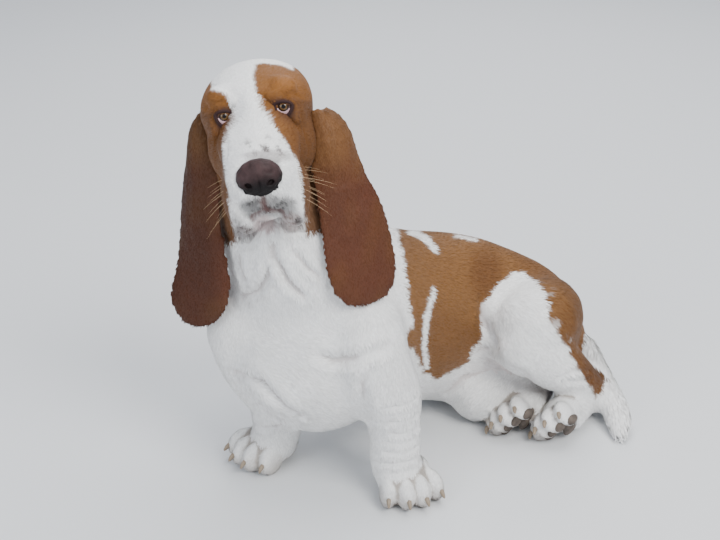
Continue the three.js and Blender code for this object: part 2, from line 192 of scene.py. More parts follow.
def add_studio():
    world = bpy.data.worlds.new("studio")
    world.use_nodes = True
    world.node_tree.nodes["Background"].inputs["Color"].default_value = (0.82, 0.88, 1.0, 1)
    world.node_tree.nodes["Background"].inputs["Strength"].default_value = 0.62
    bpy.context.scene.world = world
    add_light("key", (2.4, 0.4, 2.6), (0, 0, 0.25), 1.7, 100, (1.0, 0.99, 0.96))
    add_light("top", (-0.2, 0.4, 2.8), (0, 0, 0.2), 2.4, 50)
    add_light("fill", (1.0, -2.6, 1.6), (0, 0, 0.2), 1.8, 32, (0.92, 0.96, 1.0))
    add_light("rim", (-2.0, 1.2, 1.8), (0, 0, 0.3), 1.4, 22)
    bpy.ops.mesh.primitive_plane_add(size=14, location=(0, 0, 0))
    floor = bpy.context.active_object
    floor.name = "floor"
    material = bpy.data.materials.new("pale studio floor")
    material.use_nodes = True
    shader = material.node_tree.nodes["Principled BSDF"]
    shader.inputs["Base Color"].default_value = (0.72, 0.73, 0.74, 1)
    shader.inputs["Roughness"].default_value = 0.9
    floor.data.materials.append(material)


# Materials

def node(tree, kind, links=(), **settings):
    """One shader node with its settings; links are (input name or number, socket that feeds it)."""
    made = tree.nodes.new(kind)
    for key, value in settings.items():
        if hasattr(made, key):
            setattr(made, key, value)
        else:
            made.inputs[key.replace("_", " ")].default_value = value
    for name, socket in links:
        tree.links.new(socket, made.inputs[name])
    return made


def base_material(name, roughness, specular=0.5):
    material = bpy.data.materials.new(name)
    material.use_nodes = True
    shader = material.node_tree.nodes["Principled BSDF"]
    shader.inputs["Roughness"].default_value = roughness
    shader.inputs["Specular IOR Level"].default_value = specular
    return material, material.node_tree, shader


def bumped(tree, shader, height, distance, strength=1.0):
    bump = node(tree, "ShaderNodeBump", links=[("Height", height)], Distance=distance, Strength=strength)
    tree.links.new(bump.outputs[0], shader.inputs["Normal"])


def object_texture(tree, kind, **settings):
    """A texture over the piece's own coordinates."""
    place = node(tree, "ShaderNodeTexCoord")
    return node(tree, kind, links=[("Vector", place.outputs["Object"])], **settings)


def colour_ramp(tree, factor, stops):
    """A ramp through stops, each a position and a colour in linear light."""
    ramp = node(tree, "ShaderNodeValToRGB", links=[("Fac", factor)])
    elements = ramp.color_ramp.elements
    for element, (at, colour) in zip(elements, (stops[0], stops[-1])):
        element.position = at
        element.color = (*colour, 1)
    for at, colour in stops[1:-1]:
        elements.new(at).color = (*colour, 1)
    return ramp.outputs[0]


def coat_material():
    # Short, smooth dog hair: dull, faintly glossy fibres, each a little lighter or darker than the next.
    material, tree, shader = base_material("short_hair", 0.62, 0.28)
    colour = node(tree, "ShaderNodeVertexColor", layer_name="coat")
    fine = object_texture(tree, "ShaderNodeTexNoise", Scale=260.0, Detail=3.0)
    shade = node(tree, "ShaderNodeMapRange", links=[("Value", fine.outputs["Fac"])], To_Min=0.9, To_Max=1.08)
    scaled = [(0, colour.outputs["Color"]), ("Scale", shade.outputs[0])]
    mixed = node(tree, "ShaderNodeVectorMath", operation="SCALE", links=scaled)
    tree.links.new(mixed.outputs[0], shader.inputs["Base Color"])
    shader.inputs["Sheen Weight"].default_value = 0.04
    shader.inputs["Sheen Roughness"].default_value = 0.45
    return material


def skin_material():
    # Skin with its shortest hair: the coat's own colours, matt, with the fine drag of hair as bump.
    material, tree, shader = base_material("haired_skin", 0.75, 0.2)
    colour = node(tree, "ShaderNodeVertexColor", layer_name="coat")
    fine = object_texture(tree, "ShaderNodeTexNoise", Scale=420.0, Detail=4.0)
    tree.links.new(colour.outputs["Color"], shader.inputs["Base Color"])
    bumped(tree, shader, fine.outputs["Fac"], 0.0006, 0.6)
    return material


def leather_material(name, colour, dark, grain, roughness, painted=False, specular=0.5):
    # Bare skin of nose and pads: close pebbles, moist or dry, darker in the creases between them.
    material, tree, shader = base_material(name, roughness, specular)
    cells = object_texture(tree, "ShaderNodeTexVoronoi", Scale=1 / grain)
    cloud = object_texture(tree, "ShaderNodeTexNoise", Scale=90.0, Detail=5.0)
    source = colour_ramp(tree, cloud.outputs["Fac"], [(0.3, linear(dark)), (0.7, linear(colour))])
    if painted:
        layer = node(tree, "ShaderNodeVertexColor", layer_name="coat")
        tint = [(0, source), (1, layer.outputs["Color"])]
        source = node(tree, "ShaderNodeVectorMath", operation="MULTIPLY", links=tint).outputs[0]
    tree.links.new(source, shader.inputs["Base Color"])
    bumped(tree, shader, cells.outputs["Distance"], -grain * 0.25, 0.8)
    return material


# The eye's colours outward from the pupil: the gaze_angle, which is 2 at half a turn, and the colour there.
EYE_RINGS = [(0.0, 0x050404), (0.11, 0x070505), (0.135, 0x3A2612), (0.19, 0x654A24), (0.255, 0x3C2814)]
EYE_RINGS += [(0.305, 0x1A1210), (0.345, 0x2A1E1C), (0.42, 0x5E4A44)]
SPOKE_DEPTH = 0.03


def eye_material():
    # A dog's eye: black pupil, amber-brown iris with fine spokes, dark rim, and a wet, clear cornea over all.
    material, tree, shader = base_material("wet_eye", 0.35, 0.05)
    angle = node(tree, "ShaderNodeAttribute", attribute_name="gaze_angle")
    spokes = object_texture(tree, "ShaderNodeTexNoise", Scale=700.0, Detail=3.0)
    sum_of = [(0, spokes.outputs["Fac"]), (2, angle.outputs["Fac"])]
    wobble = node(tree, "ShaderNodeMath", operation="MULTIPLY_ADD", links=sum_of)
    wobble.inputs[1].default_value = SPOKE_DEPTH
    rings = [(at, linear(code)) for at, code in EYE_RINGS]
    tree.links.new(colour_ramp(tree, wobble.outputs[0], rings), shader.inputs["Base Color"])
    shader.inputs["Coat Weight"].default_value = 0.75
    shader.inputs["Coat Roughness"].default_value = 0.03
    return material


def cloudy_material(name, colour, roughness, coat=0.0):
    # Horn, haw and whisker hair: one colour that drifts a quarter lighter and darker over a few millimetres.
    material, tree, shader = base_material(name, roughness)
    cloud = object_texture(tree, "ShaderNodeTexNoise", Scale=150.0, Detail=4.0)
    ends = [(0.0, linear(colour) * 0.76), (1.0, np.minimum(linear(colour) * 1.24, 1))]
    tree.links.new(colour_ramp(tree, cloud.outputs["Fac"], ends), shader.inputs["Base Color"])
    shader.inputs["Coat Weight"].default_value = coat
    return material


def build_materials():
    return {
        "skin": skin_material(),
        "hair": coat_material(),
        "eye": eye_material(),
        "haw": cloudy_material("wet_haw", HAW_PINK, 0.22, coat=0.8),
        "nose": leather_material("moist_nose_leather", 0xE6E6E6, 0xA0A0A0, 0.0011, 0.5, True, 0.16),
        "pad": leather_material("dry_pad_leather", PAD_GREY, 0x3F3833, 0.0013, 0.8),
        "claw": cloudy_material("claw_horn", CLAW_HORN, 0.45),
        "whisker": cloudy_material("whisker_hair", WHISKER, 0.5),
    }


# Meshes

def shade_smooth(piece):
    piece.data.polygons.foreach_set("use_smooth", np.ones(len(piece.data.polygons), bool))


def mesh_object(name, points, faces, material):
    """A new piece from points in the dog's frame; faces is an array of triangles or a list of polygons."""
    data = bpy.data.meshes.new(name)
    data.from_pydata([tuple(p) for p in to_row(points)], [], [tuple(int(i) for i in f) for f in faces])
    data.update()
    data.materials.append(material)
    made = bpy.data.objects.new(name, data)
    shade_smooth(made)
    bpy.context.scene.collection.objects.link(made)
    return made


def rows_of(items, what, width, kind):
    """What Blender holds for each of a mesh's items, as the rows of an array."""
    flat = np.empty(len(items) * width, kind)
    items.foreach_get(what, flat)
    return flat.reshape(-1, width)


def points_of(piece):
    return rows_of(piece.data.vertices, "co", 3, np.float32).astype(float) / MM + ORIGIN


def put_points(piece, points):
    piece.data.vertices.foreach_set("co", to_row(points).astype(np.float32).ravel())
    piece.data.update()


def normals_of(piece):
    return rows_of(piece.data.vertex_normals, "vector", 3, np.float32).astype(float)


def edges_of(piece):
    return rows_of(piece.data.edges, "vertices", 2, np.int32)


def triangles_of(piece):
    piece.data.calc_loop_triangles()
    return rows_of(piece.data.loop_triangles, "vertices", 3, np.int32)


def tree_of(piece, points):
    """A search tree of a piece's surface, whose points are given in the dog's frame."""
    return BVHTree.FromPolygons([tuple(p) for p in to_row(points)], triangles_of(piece).tolist())


def stretch_distance(points, a, b):
    """How far points are from a straight stretch, and at which share of it each is nearest."""
    step = b - a
    share = np.clip(((points - a) @ step) / (step @ step), 0, 1)
    return np.linalg.norm(points - a - share[:, None] * step, axis=1), share


def spread(values, edges, count):
    """Each vertex's mean over its neighbours."""
    values = np.asarray(values, float)
    columns = values.reshape(len(values), -1)
    number = np.bincount(edges.ravel(), minlength=count)[:, None]
    total = np.empty_like(columns)
    for c in range(columns.shape[1]):
        total[:, c] = np.bincount(edges[:, 0], columns[edges[:, 1], c], count)
        total[:, c] += np.bincount(edges[:, 1], columns[edges[:, 0], c], count)
    return (total / np.maximum(number, 1)).reshape(values.shape)


def swelled_copy(name, nodes, grow):
    """One mesh from copies of solids, each swelled a little so that neighbours run into each other."""
    whole = bmesh.new()
    for one in nodes:
        part = bmesh.new()
        part.from_mesh(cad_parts[one].data)
        bmesh.ops.remove_doubles(part, verts=part.verts, dist=1e-5)
        part.normal_update()
        moves = [(v, v.co + v.normal * grow * MM) for v in part.verts]
        for v, co in moves:
            v.co = co
        data = bpy.data.meshes.new("one")
        part.to_mesh(data)
        part.free()
        whole.from_mesh(data)
        bpy.data.meshes.remove(data)
    data = bpy.data.meshes.new(name)
    whole.to_mesh(data)
    whole.free()
    made = bpy.data.objects.new(name, data)
    bpy.context.scene.collection.objects.link(made)
    return made


def remeshed(piece, voxel):
    bpy.ops.object.select_all(action="DESELECT")
    piece.select_set(True)
    bpy.context.view_layer.objects.active = piece
    modifier = piece.modifiers.new("remesh", "REMESH")
    modifier.mode = "VOXEL"
    modifier.voxel_size = voxel * MM
    bpy.ops.object.modifier_apply(modifier="remesh")


def nearest_part(points, names):
    """For each point, which of the named solids lies nearest."""
    verts, faces, owner = [], [], []
    for k, name in enumerate(names):
        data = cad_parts[name].data
        start = len(verts)
        verts += [v.co[:] for v in data.vertices]
        faces += [[start + i for i in p.vertices] for p in data.polygons]
        owner += [k] * len(data.polygons)
    tree = BVHTree.FromPolygons(verts, faces)
    owner = np.array(owner)
    found = [tree.find_nearest(Vector(p))[2] for p in to_row(points)]
    return owner[np.array(found)]


# The skin's shape

FLESH = ["torso", "neck", "head", "foreleg_left", "foreleg_right", "hindleg_left", "hindleg_right"]
FLESH += ["forepaw_left", "forepaw_right", "hindpaw_left", "hindpaw_right", "tail"]
EARS = ["ear_left", "ear_right"]


# Smoothing of the skin: passes over the small forms of head and paws, over the broad forms, over the joins of
# the parts, and over the joins of the broad parts, which are blended the longest.
FINE_PASSES = 6
BROAD_PASSES = 46
JOIN_PASSES = 20
SKIN_PASSES = 130
JOIN_RINGS = 11  # rings of vertices on each side of a join that are blended with it
TOE_JOIN = 0.4  # the share of that blending that a paw takes


def smooth_skin(skin, part_of):
    """Blends the joins of the parts, and takes the facets off the forms."""
    edges = edges_of(skin)
    points = points_of(skin)
    count = len(points)
    seam = np.zeros(count)
    crossing = part_of[edges[:, 0]] != part_of[edges[:, 1]]
    seam[edges[crossing].ravel()] = 1
    for _ in range(JOIN_RINGS):
        seam = np.maximum(seam, spread(seam, edges, count) * 1.25).clip(0, 1)
    toes = np.array(["paw" in name for name in FLESH])[part_of]
    fine = toes | (part_of == FLESH.index("head"))
    seam[toes] *= TOE_JOIN
    broad_seam = seam * ~fine
    for step in range(SKIN_PASSES):
        pull = np.where(fine, 0.5 * (step < FINE_PASSES), 0.5 * (step < BROAD_PASSES))
        pull = np.maximum(pull, seam * 0.55 * (step < JOIN_PASSES))
        pull = np.maximum(pull, broad_seam * 0.6)
        points += (spread(points, edges, count) - points) * pull[:, None]
    return points


def crease(points, normals, path, deep, wide, lip=0.45):
    """A fold along a path: a groove so deep and wide, with a soft roll on both sides."""
    path = np.asarray(path, float)
    away = np.full(len(points), 1e9)
    along = np.zeros(len(points))
    for k in range(len(path) - 1):
        distance, share = stretch_distance(points, path[k], path[k + 1])
        closer = distance < away
        away[closer] = distance[closer]
        along[closer] = (k + share[closer]) / (len(path) - 1)
    fade = np.sin(np.pi * np.clip(along * 0.86 + 0.07, 0, 1)) ** 0.6
    groove = -np.exp(-(away / wide) ** 2) + lip * np.exp(-((away - 1.9 * wide) / (1.1 * wide)) ** 2)
    return points + normals * (groove * deep * fade)[:, None]


EYE_CORNER = (17, -22, -2)  # the left eye's inner corner, in the head's frame
CORNER_WIDTH = 12.0
CORNER_DEPTH = 5.0
LOOSE_SWELL = 0.7  # how far the body's skin rises and sinks over its broad lumps


def sculpt(skin, points, part_of):
    """The folds, hollows and lumps of the real body."""
    put_points(skin, points)
    normals = normals_of(skin)
    tree = tree_of(skin, points)
    for path, deep, wide in PHOTO_FOLDS:
        points = crease(points, normals, on_surface(tree, path), deep, wide)
    put_points(skin, points)
    normals = normals_of(skin)
    for path, deep, wide in HEAD_FOLDS:
        points = crease(points, normals, from_head(path), deep, wide)
    for side in SIDES:
        _, gaze = eye_place(side)
        corner = from_head(np.multiply(EYE_CORNER, (side, 1, 1)))
        points = dent(points, corner, CORNER_WIDTH, -gaze * CORNER_DEPTH)
    for path, deep, wide in LIPS:
        points = crease(points, normals, from_head(path), deep, wide, 0.25)
    body = part_of != FLESH.index("head")
    points += normals * (noise(points, 60, 3) * LOOSE_SWELL * body)[:, None]
    points[:, 2] = np.maximum(points[:, 2], FLOOR_GAP)
    return points


def dent(points, centre, radius, push):
    """Moves the skin near a point by a vector, fading out at the radius."""
    away = np.linalg.norm(points - centre, axis=1)
    return points + np.exp(-(away / radius) ** 2)[:, None] * push


def on_surface(tree, path):
    """Where a path drawn over the photograph, in its pixels, lies on the body."""
    start = Vector(to_row(CAMERA_PLACE))
    found = []
    for across, down in path:
        way = VIEW_AHEAD * PHOTO_FOCAL + VIEW_RIGHT * (across - PHOTO_MIDDLE[0])
        way = way - VIEW_UP * (down - PHOTO_MIDDLE[1])
        hit = tree.ray_cast(start, Vector(unit(way)))[0]
        if hit:
            found.append(np.array(hit) / MM + ORIGIN)
    return np.array(found)


# The line under the flews and the chin, in the photograph's pixels.
CHIN_LINE = [(226, 232), (236, 242), (249, 242), (257, 232), (263, 223), (271, 219), (280, 223), (288, 232)]
CHIN_LINE += [(304, 230)]

# Folds of the body where the photograph shows them: the path in its pixels, the depth and the half width.
PHOTO_FOLDS = [
    (CHIN_LINE, 3.6, 3.0),
    ([(273, 242), (275, 257), (288, 281), (303, 295)], 5.5, 5.0),
    ([(270, 246), (268, 274), (258, 290), (243, 295)], 5.5, 5.0),
    ([(238, 250), (239, 266), (247, 283)], 4.0, 6.0),
    ([(294, 250), (308, 267), (320, 276)], 3.0, 4.0),
    ([(245, 325), (262, 333), (281, 340)], 1.2, 9.0),
    ([(315, 354), (332, 360), (351, 358), (384, 348)], 5.0, 6.5),
    ([(370, 370), (362, 384), (364, 406)], 4.0, 7.0),
    ([(236, 371), (262, 381), (280, 402), (300, 414)], 5.0, 6.5),
    ([(258, 404), (274, 413), (302, 416)], 4.0, 4.2),
    ([(260, 426), (278, 426), (298, 419)], 3.6, 4.2),
    ([(366, 405), (393, 406), (416, 397)], 1.8, 3.5),
    ([(366, 418), (390, 421), (417, 413)], 2.3, 3.5),
    ([(365, 430), (393, 433), (418, 425)], 3.2, 4.0),
    ([(367, 448), (386, 451), (416, 446)], 3.4, 4.0),
    ([(373, 460), (392, 462), (414, 458)], 2.0, 3.4),
    ([(480, 300), (482, 320), (496, 342), (521, 371), (543, 386)], 5.0, 7.0),
    ([(548, 387), (566, 379), (590, 379)], 3.6, 3.8),
    ([(556, 377), (572, 370), (588, 372)], 2.8, 3.6),
    ([(474, 353), (489, 347), (512, 354)], 2.0, 5.0),
    ([(446, 392), (462, 378), (486, 372)], 3.0, 6.0),
    ([(299, 113), (305, 138), (304, 166), (304, 205)], 2.0, 3.2),
    ([(209, 108), (207, 138), (211, 170), (219, 212)], 2.0, 3.2),
    ([(290, 146), (297, 172), (299, 202)], 1.4, 3.0),
    ([(228, 142), (226, 168), (231, 198)], 1.4, 3.0),
    ([(281, 96), (291, 92), (301, 99)], 1.5, 2.4),
    ([(213, 104), (221, 101), (229, 104)], 1.5, 2.4),
]

# The line between the upper lip and the flews above and the lower lip and the throat below, on both sides.
LIPS = []
for side in SIDES:
    flew = (side * 30, -60, -100)
    LIPS += [([(0, -92, -66), (side * 5, -90, -75), (side * 16, -82, -84), flew], 3.0, 2.6)]
    LIPS += [([flew, (side * 34, -36, -102), (side * 40, -12, -86), (side * 44, 2, -72)], 2.6, 3.0)]
LIPS += [([(0, -99, -58), (0, -97, -64), (0, -93, -74)], 1.6, 1.8)]

# Folds of the head, in its own frame, on both sides: brow, cheek, under the eye, and the flews.
HEAD_FOLDS = []
for side in SIDES:
    cheek = [(side * 24, -18, 2), (side * 27, -26, -10), (side * 33, -30, -30), (side * 38, -28, -52)]
    jowl = [(side * 44, -8, -8), (side * 48, -4, -30), (side * 50, 0, -56)]
    brow = [(side * 12, -10, 22), (side * 22, -4, 29), (side * 34, 6, 29)]
    flew = [(side * 26, -70, -60), (side * 30, -50, -66), (side * 34, -30, -74)]
    HEAD_FOLDS += [(cheek, 1.8, 4.0), (jowl, 1.6, 4.5), (brow, 1.3, 4.0), (flew, 1.4, 4.0)]


def build_skin():
    skin = swelled_copy("skin", FLESH, 0.7)
    remeshed(skin, SKIN_VOXEL)
    points = points_of(skin)
    part_of = nearest_part(points, FLESH)
    points = smooth_skin(skin, part_of)
    points = sculpt(skin, points, part_of)
    put_points(skin, points)
    tree = tree_of(skin, points)
    lid_grids = {side: lid_grid(side, tree) for side in SIDES}
    for grid in lid_grids.values():
        points = open_skin(points, grid)
    put_points(skin, points)
    return skin, part_of, lid_grids


# How the flaps' skin moves out towards the photographed outline, which is wider than the solids': sideways in
# the picture in mm, wider as a share, and down in mm. It grows from nothing at EAR_TOP to all at EAR_LOW.
EAR_FIT = {"ear_left": (2.5, 0.05, 2.0), "ear_right": (-2.0, 0.1, 2.0)}
EAR_TOP = 440
EAR_LOW = 330
EAR_VOXEL = 2.2
EAR_PASSES = 14
EAR_PULLS = (0.5, -0.52)  # in and out by turns, so that the flap keeps its outline
EAR_WAVE = 1.2


def build_ears():
    ears = swelled_copy("ears", EARS, 0.0)
    remeshed(ears, EAR_VOXEL)
    points = points_of(ears)
    part_of = nearest_part(points, EARS)
    edges = edges_of(ears)
    for k, name in enumerate(EARS):
        shift, stretch, drop = EAR_FIT[name]
        flap = part_of == k
        low = smoothstep(EAR_TOP, EAR_LOW, points[flap, 2])
        across = points[flap] @ VIEW_RIGHT
        middle = (across.min() + across.max()) / 2
        points[flap] += ((shift + (across - middle) * stretch) * low)[:, None] * VIEW_RIGHT
        points[flap, 2] -= drop * low
    for pull in EAR_PULLS * EAR_PASSES:
        points += (spread(points, edges, len(points)) - points) * pull
    put_points(ears, points)
    points += normals_of(ears) * (noise(points, 26, 8) * EAR_WAVE)[:, None]
    put_points(ears, points)
    return ears, part_of


# The markings

SADDLE = [
    (392, 205), (620, 205), (630, 300), (610, 350), (604, 380), (601, 392), (594, 398), (590, 385),
    (587, 381), (576, 367), (567, 349), (559, 333), (544, 317), (546, 303), (535, 285), (521, 272),
    (512, 272), (494, 287), (481, 303), (480, 335), (466, 362), (435, 379), (423, 372), (416, 360),
    (414, 349), (396, 341), (411, 326), (409, 317), (406, 295), (403, 265), (397, 236),
]
WHITE_FACE = [
    (221, 20), (300, 20), (292, 71), (284, 67), (275, 65), (262, 64), (255, 66), (253, 78),
    (255, 93), (263, 112), (274, 130), (288, 147), (297, 162), (300, 176), (305, 207), (307, 240),
    (290, 250), (269, 250), (247, 252), (230, 246), (229, 218), (226, 192), (217, 164), (219, 150),
    (226, 135), (234, 119), (231, 106), (228, 96), (212, 90), (212, 80),
]
CHEEKS = [
    [(170, 100), (225, 120), (224, 160), (229, 192), (231, 218), (237, 241), (214, 244), (170, 244)],
    [(297, 100), (345, 100), (345, 229), (322, 230), (305, 232), (303, 200), (299, 170)],
]
# Darker patches of the saddle: middle and half sizes in the photograph's pixels, and strength.
SADDLE_SHADES = [((484, 274), (20, 30), 0.85), ((440, 340), (30, 40), 0.4), ((592, 372), (14, 26), 0.9)]

# Soft patches of the face: middle and half sizes in the photograph's pixels, colour, strength, how broken.
FACE_PATCHES = [
    ((267, 146), (24, 10), 0x4F4644, 0.95, 0.97),
    ((268, 157), (25, 6), 0x54423F, 0.85, 0.4),
    ((268, 205), (28, 13), 0x363231, 0.9, 0.35),
    ((266, 201), (18, 9), 0x2C2827, 0.5, 0.5),
    ((249, 206), (10, 11), 0x363231, 0.85, 0.45),
    ((286, 206), (10, 11), 0x363231, 0.85, 0.45),
    ((238, 222), (8, 9), 0x4A3A38, 0.8, 0.6),
    ((244, 231), (15, 8), 0x432C27, 0.98, 0.3),
    ((291, 220), (13, 10), 0x6A4A42, 0.95, 0.35),
    ((298, 220), (5, 4), 0x1E1412, 0.9, 0.2),
    ((267, 207), (4, 4), 0x181212, 0.9, 0.0),
    ((232, 205), (8, 20), MUZZLE_GREY, 0.35, 0.8),
    ((265, 223), (13, 9), 0xBFA3A0, 0.75, 0.1),
    # Painted light on the brow above the right eye.
    ((285, 84), (13, 11), 0x96612E, 0.6, 0.2),
    ((221, 119), (13, 12), 0x3A2422, 0.75, 0.1),
    ((287, 110), (15, 12), 0x3A2422, 0.7, 0.1),
    # Painted shade beside each eye, and a painted shadow of the right ear's fold on the cheek next to it.
    ((224, 134), (6, 10), DARK_TAN_HAIR, 0.7, 0.2),
    ((292, 126), (8, 10), DARK_TAN_HAIR, 0.5, 0.2),
    ((312, 150), (6, 40), DARK_TAN_HAIR, 0.5, 0.2),
]
FLANK_STREAK = [(432, 289), (425, 317), (423, 346), (425, 367)]
BACK_SPOTS = [([(408, 231), (422, 238), (433, 250)], 3.2), ([(452, 237), (473, 240)], 1.6)]


def inside_distance(place, outline):
    """How far pixels lie inside a closed outline, negative outside."""
    outline = np.asarray(outline, float)
    away = np.full(len(place), 1e9)
    inside = np.zeros(len(place), bool)
    for a, b in zip(outline, np.roll(outline, -1, axis=0)):
        away = np.minimum(away, stretch_distance(place, a, b)[0])
        crosses = (a[1] > place[:, 1]) != (b[1] > place[:, 1])
        reach = a[0] + (place[:, 1] - a[1]) / (b[1] - a[1] + 1e-12) * (b[0] - a[0])
        inside ^= crosses & (place[:, 0] < reach)
    return np.where(inside, away, -away)


def line_distance(place, path):
    path = np.asarray(path, float)
    return np.min([stretch_distance(place, a, b)[0] for a, b in zip(path[:-1], path[1:])], axis=0)


def blend(colour, other, amount):
    return colour * (1 - amount[:, None]) + linear(other)[None] * amount[:, None]


def spot_distance(place, middle, size):
    """How far pixels are from a soft spot's middle, in shares of its half width and half height."""
    return np.hypot((place[:, 0] - middle[0]) / size[0], (place[:, 1] - middle[1]) / size[1])


def lump(points, centre, size):
    return np.exp(-np.sum(((points - centre) / size) ** 2, axis=1))


HIDDEN = 50  # pixels added to a distance on the far side, so that a mark seen in the photograph stays off it


def mark_trunk(colour, points, place, seen, parts, ragged):
    """Tan saddle of trunk and thighs, with its white streaks, its darker patches and its speckled edge."""
    trunk = np.isin(parts, ["torso", "hindleg_left", "hindleg_right"])
    near_side = inside_distance(place, SADDLE) + ragged
    back = points[:, 2] > 60 + 34 * np.sin(points[:, 1] / 60.0) + ragged * 3
    back &= points[:, 1] > 52 + ragged * 3
    far_side = np.where(back, 6.0, -6.0)
    saddle = smoothstep(-1.6, 1.6, near_side * seen + far_side * (1 - seen)) * trunk
    away = line_distance(place, FLANK_STREAK) - ragged * 0.4 + (1 - seen) * HIDDEN
    saddle = saddle * smoothstep(1.4, 3.6, away)
    for spot, wide in BACK_SPOTS:
        away = line_distance(place, spot) + ragged * 0.7 + (1 - seen) * HIDDEN
        saddle = saddle * smoothstep(wide - 1.2, wide + 1.2, away)
    colour = blend(colour, TAN_HAIR, saddle)
    streaks = smoothstep(0.25, 0.7, noise(points * (1, 0.35, 0.6), 4.0, 26))
    streaks = streaks * smoothstep(14, 3, np.abs(near_side))
    colour = blend(colour, WHITE_HAIR, saddle * streaks * smoothstep(535, 560, place[:, 0]) * 0.75)
    for middle, size, strength in SADDLE_SHADES:
        away = spot_distance(place, middle, size)
        colour = blend(colour, DARK_TAN_HAIR, saddle * seen * smoothstep(1.3, 0.3, away) * strength)
    deep = saddle * smoothstep(0.0, 0.9, noise(points, 70, 23) + smoothstep(230, 330, points[:, 1]) * 0.5)
    return blend(colour, DARK_TAN_HAIR, deep * 0.6), saddle


def mark_head(colour, points, place, facing, parts, ragged):
    """Tan face and cheeks round the white blaze, the muzzle's soft patches, the lips, and the tan nape."""
    head = parts == "head"
    neck = parts == "neck"
    local = to_head(points)
    white = smoothstep(-1.3, 1.3, inside_distance(place, WHITE_FACE) + ragged * 0.45)
    white *= smoothstep(88, 64, local[:, 1])
    face = head * (1 - white) * smoothstep(-118, -96, local[:, 2] + ragged)
    colour = blend(colour, FACE_TAN, face)
    darker = face * smoothstep(14, 44, np.abs(local[:, 0])) * smoothstep(20, -30, local[:, 2])
    colour = blend(colour, DARK_TAN_HAIR, darker * 0.75)
    speckle = smoothstep(0.1, 0.55, noise(points, 2.6, 24))
    front = (head | neck) * smoothstep(-0.3, -0.05, facing)
    for middle, size, code, strength, broken in FACE_PATCHES:
        away = spot_distance(place, middle, size) + ragged * 0.04
        amount = front * smoothstep(1.25, 0.55, away) * strength
        colour = blend(colour, code, amount * (1 - broken + broken * speckle))
    cheeks = np.maximum(inside_distance(place, CHEEKS[0]), inside_distance(place, CHEEKS[1])) + ragged * 0.5
    cheeks = smoothstep(-1.5, 1.5, cheeks) * smoothstep(-0.05, 0.15, facing) * (head | neck)
    colour = blend(colour, DARK_TAN_HAIR, cheeks * 0.98)
    for path, _, _ in LIPS:
        edge = (head | neck) * smoothstep(5.0, 1.5, line_distance(local, path) + ragged * 0.3)
        colour = blend(colour, LIP_BROWN, edge * 0.75)
    nape = neck * smoothstep(-0.05, 0.1, -facing) * smoothstep(366, 376, points[:, 2] + ragged * 2)
    return blend(colour, TAN_HAIR, nape), (1 - face) * (1 - cheeks)


def mark_folds_and_feet(colour, points, parts, ragged, hollow, pale):
    """Painted shade in pale folds and between the toes, grey feet, the bare belly and the brown heel."""
    paw = np.char.find(parts.astype(str), "paw") >= 0
    loose = np.isin(parts, ["neck", "torso", "head", "foreleg_left", "foreleg_right"])
    colour = blend(colour, FOLD_SHADE, loose * pale * smoothstep(0.35, 1.5, hollow) * 0.4)
    # Painted shade: the paws are darkened in the hollows between their toes.
    colour = blend(colour, TOE_HOLLOW_SHADE, paw * smoothstep(0.1, 0.9, hollow) * 0.7)
    foot = paw * smoothstep(34, 8, points[:, 2] + noise(points, 9, 25) * 5)
    colour = blend(colour, FOOT_GREY, foot * 0.5)
    belly = (parts == "torso") * lump(points, (20, 240, 60), (55, 55, 40))
    colour = blend(colour, BELLY_PINK, belly * 0.5)
    heel = (parts == "hindleg_left") * lump(points, (14, 378, 38), (30, 26, 34))
    return blend(colour, DARK_TAN_HAIR, smoothstep(0.35, 0.6, heel + ragged * 0.02))


def markings(points, normals, parts, hollow=0):
    """The coat's colour at points of the skin, from each one's part and how deep in a fold it lies, in mm."""
    place = photo_place(points)
    facing = normals @ (-VIEW_AHEAD)
    seen = smoothstep(-0.12, 0.1, facing)
    ragged = noise(points, 7, 20) * 2.2 + noise(points, 16, 21) * 1.6
    colour = np.tile(linear(WHITE_HAIR), (len(points), 1))
    colour *= (1 - 0.05 * smoothstep(-0.2, 0.9, noise(points, 45, 22)))[:, None]
    colour, saddle = mark_trunk(colour, points, place, seen, parts, ragged)
    colour, bare_of_tan = mark_head(colour, points, place, facing, parts, ragged)
    return mark_folds_and_feet(colour, points, parts, ragged, hollow, (1 - saddle) * bare_of_tan)


def ear_colours(points):
    colour = np.tile(linear(EAR_HAIR), (len(points), 1))
    colour = blend(colour, TAN_HAIR, 0.7 * smoothstep(380, 445, points[:, 2] + noise(points, 20, 30) * 12))
    colour = blend(colour, DARK_TAN_HAIR, 0.4 * smoothstep(-0.2, 0.8, noise(points, 30, 31)))
    # Painted shade: the right ear, turned from the light, is painted up to 0.3 darker.
    return colour * (1 - 0.3 * smoothstep(0, -20, points[:, 0]))[:, None]


def paint(piece, colour):
    layer = piece.data.color_attributes.new("coat", "FLOAT_COLOR", "POINT")
    rgba = np.ones((len(colour), 4), np.float32)
    rgba[:, :3] = colour
    layer.data.foreach_set("color", rgba.ravel())


# The coat

# Length, width and lift of a tuft in millimetres, and how many layers of tufts cover the skin, for each part.
TUFTS = {
    "torso": (9.0, 1.4, 0.6, 3.2),
    "neck": (8.0, 1.3, 0.6, 3.3),
    "head": (4.6, 0.95, 0.45, 3.3),
    "tail": (14.0, 1.7, 1.7, 4.5),
}
for end in ("left", "right"):
    TUFTS["foreleg_" + end] = (7.0, 1.25, 0.6, 3.2)
    TUFTS["hindleg_" + end] = (8.0, 1.35, 0.7, 3.2)
    TUFTS["forepaw_" + end] = TUFTS["hindpaw_" + end] = (4.5, 1.0, 0.5, 3.2)
    TUFTS["ear_" + end] = (4.2, 1.0, 0.28, 3.2)

